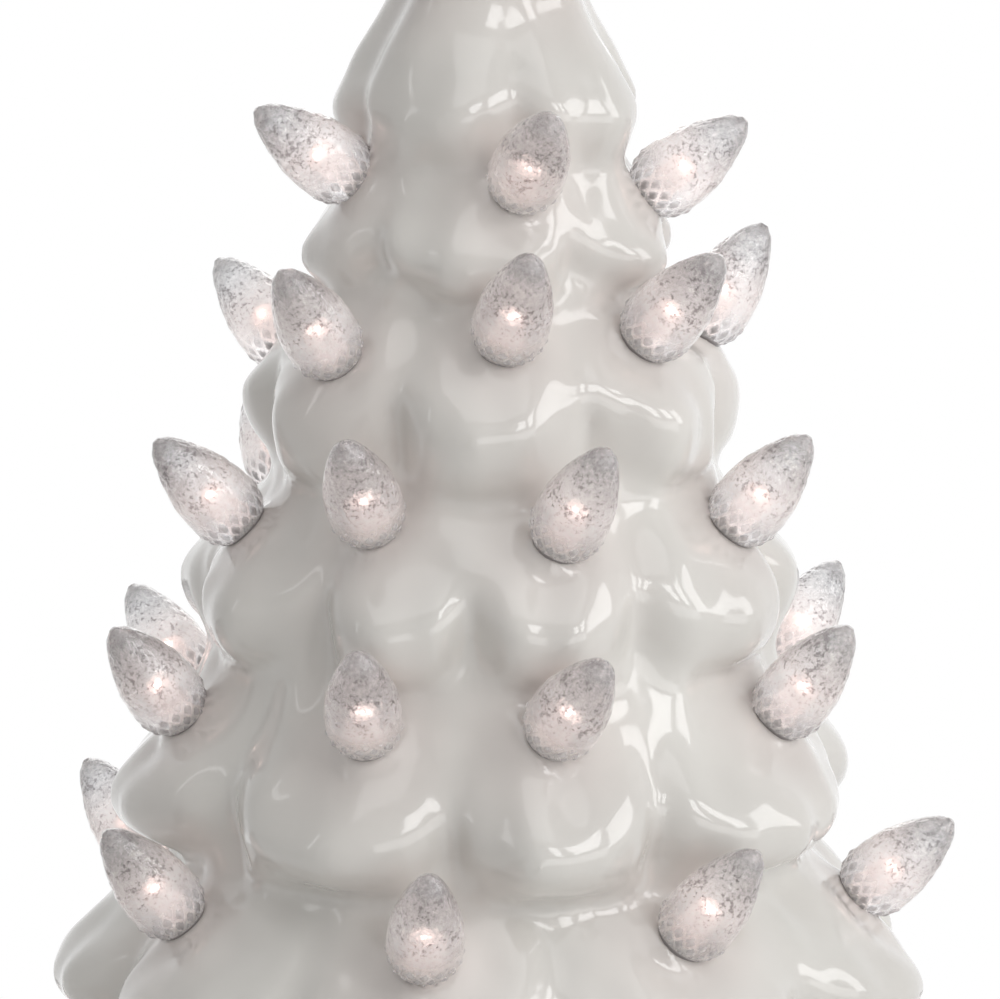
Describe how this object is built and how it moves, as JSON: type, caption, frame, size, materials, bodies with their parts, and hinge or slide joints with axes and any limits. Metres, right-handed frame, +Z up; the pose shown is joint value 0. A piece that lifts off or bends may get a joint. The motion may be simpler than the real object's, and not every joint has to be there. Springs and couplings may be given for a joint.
{
  "type": "ceramic christmas tree",
  "caption": "Glazed white ceramic tabletop Christmas tree with scalloped tiers, clear faceted lighted bulbs, a lift-off star and a battery base.",
  "frame": {"origin": "on the table under the trunk line, level with the bottoms of the feet", "axes": "+Z up the trunk line to the star, -Y towards the viewer, +X to the viewer's right"},
  "size_m": [0.2302, 0.2416, 0.35],
  "materials": {
    "glaze": "white gloss glaze, slightly warm",
    "silicone": "translucent white silicone",
    "foot_rubber": "matt black rubber",
    "bulb_clear": "clear acrylic with a pale pink cast, faceted",
    "star_clear": "clear acrylic, faceted",
    "led_lens": "clear epoxy lens, warm white light",
    "socket_plastic": "white moulded plastic",
    "wire_jacket": "clear-white wire jacket",
    "lead_jacket": "red wire jacket",
    "insert_brass": "machined",
    "screw_steel": "zinc plated",
    "cover_plastic": "white moulded plastic, fine texture",
    "tray_plastic": "black moulded plastic",
    "cell_jacket": "plain dark jacket",
    "contact_metal": "nickel plated",
    "switch_plastic": "black moulded plastic",
    "knob_plastic": "black moulded plastic",
    "board_laminate": "green solder mask",
    "chip_plastic": "black epoxy"
  },
  "bodies": {
    "tree": {"aa_cells": "cell_jacket", "base_stand": "glaze", "battery_leads": "lead_jacket", "battery_tray": "tray_plastic", "board_screws": "screw_steel", "bottom_cover": "cover_plastic", "bulbs_crown": "bulb_clear", "bulbs_fifth": "bulb_clear", "bulbs_fourth": "bulb_clear", "bulbs_second": "bulb_clear", "bulbs_sixth": "bulb_clear", "bulbs_skirt": "bulb_clear", "bulbs_third": "bulb_clear", "contact_jumpers": "contact_metal", "contact_terminals": "contact_metal", "control_board": "board_laminate", "cover_screws": "screw_steel", "hinge_pin": "screw_steel", "led_sockets_crown": "socket_plastic", "led_sockets_fifth": "socket_plastic", "led_sockets_fourth": "socket_plastic", "led_sockets_second": "socket_plastic", "led_sockets_sixth": "socket_plastic", "led_sockets_skirt": "socket_plastic", "led_sockets_third": "socket_plastic", "leds_crown": "led_lens", "leds_fifth": "led_lens", "leds_fourth": "led_lens", "leds_second": "led_lens", "leds_sixth": "led_lens", "leds_skirt": "led_lens", "leds_third": "led_lens", "light_string": "wire_jacket", "rubber_feet": "foot_rubber", "seat_gasket": "silicone", "star_led": "led_lens", "star_socket": "socket_plastic", "switch_body": "switch_plastic", "threaded_inserts": "insert_brass", "timer_chip": "chip_plastic", "tray_screws": "screw_steel", "tree_shell": "glaze"},
    "star": {"star_topper": "star_clear"},
    "door": {"battery_door": "cover_plastic"},
    "switch_knob": {"switch_knob": "knob_plastic"}
  },
  "joints": [
    {"name": "star_lift", "type": "slide", "parent": "tree", "child": "star", "axis": [0, 0, 1], "range_m": [0, 0.04]},
    {"name": "door_hinge", "type": "hinge", "parent": "tree", "child": "door", "pos_m": [-0.0223, 0, 0.0043], "axis": [0, 1, 0], "range_deg": [0, 100]},
    {"name": "switch_slide", "type": "slide", "parent": "tree", "child": "switch_knob", "axis": [0, 1, 0], "range_m": [-0.0025, 0.0025]}
  ]
}
